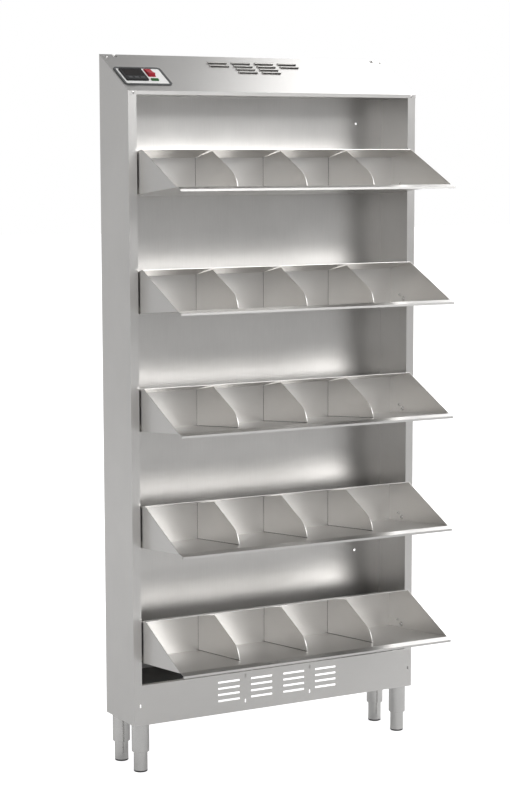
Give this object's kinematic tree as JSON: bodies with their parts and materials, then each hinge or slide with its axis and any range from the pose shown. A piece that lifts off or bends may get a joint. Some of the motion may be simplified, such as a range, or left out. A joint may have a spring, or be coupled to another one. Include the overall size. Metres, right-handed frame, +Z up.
{
  "type": "drying cabinet",
  "caption": "Shallow stainless-steel cabinet on adjustable legs with rows of tilting bins for drying shoes and a sloping header with controls, blower and heater.",
  "frame": {"origin": "on the floor, in the middle of the width, halfway between the noses of the open bins and the cabinet's back", "axes": "+X to the right seen from the front, +Y from the front to the back, +Z up"},
  "size_m": [1.002, 0.4754, 2.174],
  "materials": {
    "satin_stainless": "fine satin grain",
    "bright_screw": "bright",
    "white_nylon": "smooth",
    "white_plate": "smooth satin",
    "dark_frame": "satin",
    "dark_case": "fine texture",
    "dark_window": "gloss",
    "grey_key": "matt",
    "red_rocker": "gloss",
    "green_lens": "gloss",
    "galvanised": "zinc coated",
    "bare_aluminium": "plain",
    "motor_black": "satin",
    "dark_coat": "satin coat",
    "heater_sheath": "heat darkened",
    "black_rubber": "matt",
    "black_plastic": "matt"
  },
  "bodies": {
    "cabinet": {"side_panel_left": "satin_stainless", "side_panel_right": "satin_stainless", "back_panel": "satin_stainless", "base_panel": "satin_stainless", "chamber_floor": "dark_coat", "header_deck": "satin_stainless", "header_cover": "satin_stainless", "cover_screws": "bright_screw", "leg_rails": "satin_stainless", "leg_studs": "bright_screw", "leg_sleeves": "satin_stainless", "pivot_bushes": "white_nylon", "control_plate": "white_plate", "control_frame": "dark_frame", "controller_case": "dark_case", "controller_window": "dark_window", "switch_housing": "red_rocker", "pilot_lamp": "green_lens", "blower_housing": "galvanised", "blower_motor": "motor_black", "heater_element": "heater_sheath", "limit_thermostat": "white_nylon", "terminal_block": "white_nylon", "cable_grommet": "black_rubber", "wiring_loom": "black_rubber"},
    "foot_front_left": {"foot_front_left_tube": "satin_stainless", "foot_front_left_pad": "black_plastic"},
    "foot_front_right": {"foot_front_right_tube": "satin_stainless", "foot_front_right_pad": "black_plastic"},
    "foot_rear_left": {"foot_rear_left_tube": "satin_stainless", "foot_rear_left_pad": "black_plastic"},
    "foot_rear_right": {"foot_rear_right_tube": "satin_stainless", "foot_rear_right_pad": "black_plastic"},
    "bin_1": {"bin_1_pan": "satin_stainless", "bin_1_ends": "satin_stainless", "bin_1_dividers": "satin_stainless", "bin_1_pins": "bright_screw"},
    "bin_2": {"bin_2_pan": "satin_stainless", "bin_2_ends": "satin_stainless", "bin_2_dividers": "satin_stainless", "bin_2_pins": "bright_screw"},
    "bin_3": {"bin_3_pan": "satin_stainless", "bin_3_ends": "satin_stainless", "bin_3_dividers": "satin_stainless", "bin_3_pins": "bright_screw"},
    "bin_4": {"bin_4_pan": "satin_stainless", "bin_4_ends": "satin_stainless", "bin_4_dividers": "satin_stainless", "bin_4_pins": "bright_screw"},
    "bin_5": {"bin_5_pan": "satin_stainless", "bin_5_ends": "satin_stainless", "bin_5_dividers": "satin_stainless", "bin_5_pins": "bright_screw"},
    "rocker": {"switch_rocker": "red_rocker"},
    "impeller": {"blower_impeller": "bare_aluminium"},
    "key_set_cap": {"key_set": "grey_key"},
    "key_down_cap": {"key_down": "grey_key"},
    "key_up_cap": {"key_up": "grey_key"}
  },
  "joints": [
    {"name": "bin_1_tilt", "type": "hinge", "parent": "cabinet", "child": "bin_1", "pos_m": [0, 0.0507, 1.7706], "axis": [-1, 0, 0], "range_deg": [0, 84.75]},
    {"name": "bin_2_tilt", "type": "hinge", "parent": "cabinet", "child": "bin_2", "pos_m": [0, 0.0507, 1.4172], "axis": [-1, 0, 0], "range_deg": [0, 84.75]},
    {"name": "bin_3_tilt", "type": "hinge", "parent": "cabinet", "child": "bin_3", "pos_m": [0, 0.0507, 1.0638], "axis": [-1, 0, 0], "range_deg": [0, 84.75]},
    {"name": "bin_4_tilt", "type": "hinge", "parent": "cabinet", "child": "bin_4", "pos_m": [0, 0.0507, 0.7104], "axis": [-1, 0, 0], "range_deg": [0, 84.75]},
    {"name": "bin_5_tilt", "type": "hinge", "parent": "cabinet", "child": "bin_5", "pos_m": [0, 0.0507, 0.357], "axis": [-1, 0, 0], "range_deg": [0, 84.75]},
    {"name": "foot_front_left_height", "type": "slide", "parent": "cabinet", "child": "foot_front_left", "axis": [0, 0, -1], "range_m": [-0.02, 0.03]},
    {"name": "foot_front_right_height", "type": "slide", "parent": "cabinet", "child": "foot_front_right", "axis": [0, 0, -1], "range_m": [-0.02, 0.03]},
    {"name": "foot_rear_left_height", "type": "slide", "parent": "cabinet", "child": "foot_rear_left", "axis": [0, 0, -1], "range_m": [-0.02, 0.03]},
    {"name": "foot_rear_right_height", "type": "slide", "parent": "cabinet", "child": "foot_rear_right", "axis": [0, 0, -1], "range_m": [-0.02, 0.03]},
    {"name": "switch_rocker_tilt", "type": "hinge", "parent": "cabinet", "child": "rocker", "pos_m": [-0.385, 0.13044, 2.11539], "axis": [1, 0, 0], "range_deg": [0, 20]},
    {"name": "key_set_press", "type": "slide", "parent": "cabinet", "child": "key_set_cap", "axis": [0, 0.4952, -0.8688], "range_m": [0, 0.0008], "stiffness_N_per_m": 600, "springref_m": -0.0008},
    {"name": "key_down_press", "type": "slide", "parent": "cabinet", "child": "key_down_cap", "axis": [0, 0.4952, -0.8688], "range_m": [0, 0.0008], "stiffness_N_per_m": 600, "springref_m": -0.0008},
    {"name": "key_up_press", "type": "slide", "parent": "cabinet", "child": "key_up_cap", "axis": [0, 0.4952, -0.8688], "range_m": [0, 0.0008], "stiffness_N_per_m": 600, "springref_m": -0.0008},
    {"name": "impeller_spin", "type": "hinge", "parent": "cabinet", "child": "impeller", "pos_m": [0, 0.1727, 2.0892], "axis": [1, 0, 0], "continuous": true}
  ]
}
